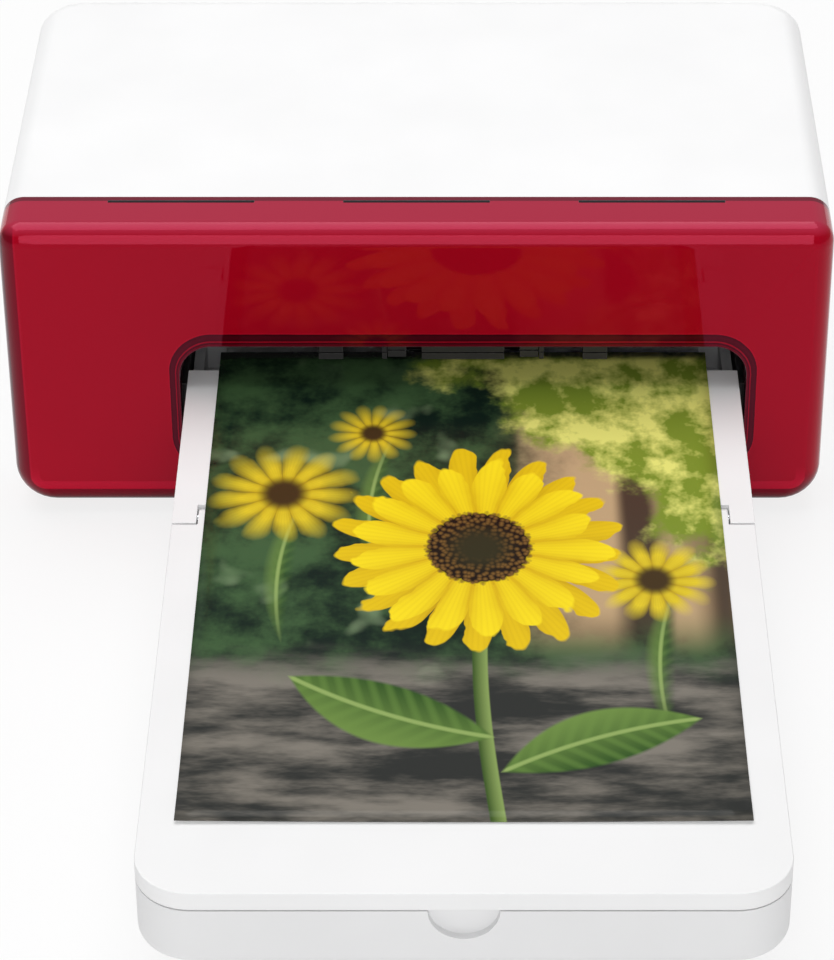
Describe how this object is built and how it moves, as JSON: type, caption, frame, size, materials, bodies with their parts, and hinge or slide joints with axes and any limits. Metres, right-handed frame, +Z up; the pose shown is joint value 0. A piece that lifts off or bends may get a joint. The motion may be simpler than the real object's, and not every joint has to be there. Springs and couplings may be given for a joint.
{
  "type": "compact photo printer",
  "caption": "Compact photo printer: white rounded casing with a glossy red front shell, and a paper tray with a hinged lid that carries the finished print.",
  "frame": {"origin": "middle of the footprint of body and tray together, at the underside of the rubber feet", "axes": "+Z up, -Y the way the tray points and the print leaves, +X to the right as seen from the front"},
  "size_m": [0.1694, 0.2606, 0.0695],
  "materials": {
    "white_plastic": "satin moulded, very light grain",
    "red_shell": "polished see-through red",
    "dark_lining": "dark red-black",
    "tray_white": "satin moulded",
    "tray_grey": "satin moulded, pale grey",
    "black_plastic": "fine matt grain",
    "steel_sheet": "zinc plated sheet",
    "steel_shaft": "ground and polished",
    "rubber_black": "matt",
    "roller_rubber": "ground rubber",
    "gear_white": "acetal, slightly glossy",
    "brass": "turned brass",
    "motor_can": "nickel plated can",
    "head_ceramic": "glazed ceramic strip",
    "heatsink_alu": "extruded aluminium",
    "case_grey": "matt grey moulding",
    "ribbon_ink": "ink coated film",
    "ribbon_amber": "ink coated film",
    "board_green": "solder mask",
    "lens_green": "clear tinted",
    "button_grey": "satin",
    "paper": "blank glossy photo paper",
    "photo_print": "glossy printed photo paper"
  },
  "bodies": {
    "root": {"body_shell": "white_plastic", "front_fascia": "red_shell", "front_backing": "dark_lining", "bottom_cover": "white_plastic", "base_screws": "steel_sheet", "rubber_feet": "rubber_black", "door_pin": "steel_shaft", "chassis_base": "steel_sheet", "left_side_frame": "steel_sheet", "right_side_frame": "steel_sheet", "tie_bar": "steel_sheet", "tray_guide": "black_plastic", "exit_guide": "black_plastic", "exit_ramp": "black_plastic", "shaft_bushes": "gear_white", "feed_motor": "motor_can", "head_springs": "steel_shaft", "ribbon_case": "case_grey", "ribbon_film": "ribbon_ink", "ribbon_motor": "motor_can", "main_board": "board_green", "board_parts": "black_plastic", "power_jack": "black_plastic", "usb_socket": "steel_sheet", "button_switch": "black_plastic", "status_lens": "lens_green", "fan_frame": "black_plastic"},
    "platen": {"platen_shaft": "steel_shaft", "platen_rubber": "roller_rubber", "platen_gear": "gear_white"},
    "feed": {"feed_roller": "steel_shaft", "feed_gear": "gear_white"},
    "pinch": {"pinch_roller": "roller_rubber"},
    "pickup": {"pickup_shaft": "steel_shaft", "pickup_tyres": "roller_rubber", "pickup_gear": "gear_white"},
    "transfer": {"transfer_gear": "gear_white"},
    "idler": {"idler_gear": "gear_white"},
    "motor_shaft": {"motor_pinion": "brass"},
    "head": {"print_head": "head_ceramic", "head_heatsink": "heatsink_alu", "head_carrier": "steel_sheet"},
    "supply": {"supply_spool": "case_grey", "supply_roll": "ribbon_amber"},
    "takeup": {"takeup_spool": "case_grey", "takeup_roll": "ribbon_ink", "takeup_gear": "gear_white"},
    "ribbon_shaft": {"ribbon_pinion": "brass"},
    "side_door": {"side_door": "white_plastic"},
    "button": {"power_button": "button_grey"},
    "fan": {"fan_rotor": "black_plastic"},
    "tray": {"tray_base": "tray_grey", "tray_deck": "tray_white", "lid_pins": "steel_shaft", "paper_stack": "paper", "printed_sheet": "photo_print"},
    "lid": {"tray_lid": "tray_white"},
    "lift": {"lift_plate": "steel_sheet"}
  },
  "joints": [
    {"name": "platen_spin", "type": "hinge", "parent": "root", "child": "platen", "pos_m": [0.0095, 0.0821, 0.0335], "axis": [1, 0, 0], "continuous": true},
    {"name": "feed_spin", "type": "hinge", "parent": "root", "child": "feed", "pos_m": [0.0095, 0.0695, 0.03436], "axis": [1, 0, 0], "continuous": true},
    {"name": "pinch_spin", "type": "hinge", "parent": "root", "child": "pinch", "pos_m": [0.0095, 0.0695, 0.0425], "axis": [1, 0, 0], "continuous": true},
    {"name": "pickup_spin", "type": "hinge", "parent": "root", "child": "pickup", "pos_m": [0.0095, 0.0531, 0.0299], "axis": [1, 0, 0], "continuous": true},
    {"name": "transfer_spin", "type": "hinge", "parent": "root", "child": "transfer", "pos_m": [0.0095, 0.06049, 0.03789], "axis": [1, 0, 0], "continuous": true},
    {"name": "idler_spin", "type": "hinge", "parent": "root", "child": "idler", "pos_m": [0.0095, 0.07428, 0.02326], "axis": [1, 0, 0], "continuous": true},
    {"name": "motor_spin", "type": "hinge", "parent": "root", "child": "motor_shaft", "pos_m": [0.0095, 0.0843, 0.01651], "axis": [1, 0, 0], "continuous": true},
    {"name": "head_lift", "type": "slide", "parent": "root", "child": "head", "axis": [0, 0, 1], "range_m": [0, 0.0025], "deforming": ["head_springs"]},
    {"name": "takeup_spin", "type": "hinge", "parent": "root", "child": "takeup", "pos_m": [0.0095, 0.0606, 0.0548], "axis": [1, 0, 0], "continuous": true},
    {"name": "supply_spin", "type": "hinge", "parent": "root", "child": "supply", "pos_m": [0.0095, 0.1123, 0.0548], "axis": [1, 0, 0], "continuous": true},
    {"name": "ribbon_motor_spin", "type": "hinge", "parent": "root", "child": "ribbon_shaft", "pos_m": [0.0095, 0.07508, 0.0548], "axis": [1, 0, 0], "continuous": true},
    {"name": "door_hinge", "type": "hinge", "parent": "root", "child": "side_door", "pos_m": [0.08255, 0.08545, 0.038], "axis": [0, 1, 0], "range_deg": [0, 90]},
    {"name": "power_press", "type": "slide", "parent": "root", "child": "button", "axis": [0, -1, 0], "range_m": [0, 0.0012], "stiffness_N_per_m": 400, "springref_m": -0.0005},
    {"name": "fan_spin", "type": "hinge", "parent": "root", "child": "fan", "pos_m": [-0.06435, 0.1239, 0.0365], "axis": [0, 1, 0], "continuous": true},
    {"name": "tray_slide", "type": "slide", "parent": "root", "child": "tray", "axis": [0, -1, 0], "range_m": [0, 0.1]},
    {"name": "lid_hinge", "type": "hinge", "parent": "tray", "child": "lid", "pos_m": [0.0095, -0.0168, 0.0296], "axis": [-1, 0, 0], "range_deg": [0, 95], "deforming": ["printed_sheet"]},
    {"name": "lift_hinge", "type": "hinge", "parent": "tray", "child": "lift", "pos_m": [0.0095, -0.0029, 0.0173], "axis": [1, 0, 0], "range_deg": [0, 2.6], "deforming": ["paper_stack"]}
  ],
  "couplings": [
    {"joint": "idler_spin", "follows": "platen_spin", "ratio": -0.77778},
    {"joint": "feed_spin", "follows": "platen_spin", "ratio": 1.1667},
    {"joint": "pinch_spin", "follows": "platen_spin", "ratio": -2.4},
    {"joint": "motor_spin", "follows": "platen_spin", "ratio": 1.1667},
    {"joint": "transfer_spin", "follows": "platen_spin", "ratio": -1.1667},
    {"joint": "pickup_spin", "follows": "platen_spin", "ratio": 0.93333},
    {"joint": "supply_spin", "follows": "takeup_spin", "ratio": 0.66667},
    {"joint": "ribbon_motor_spin", "follows": "takeup_spin", "ratio": -2}
  ]
}
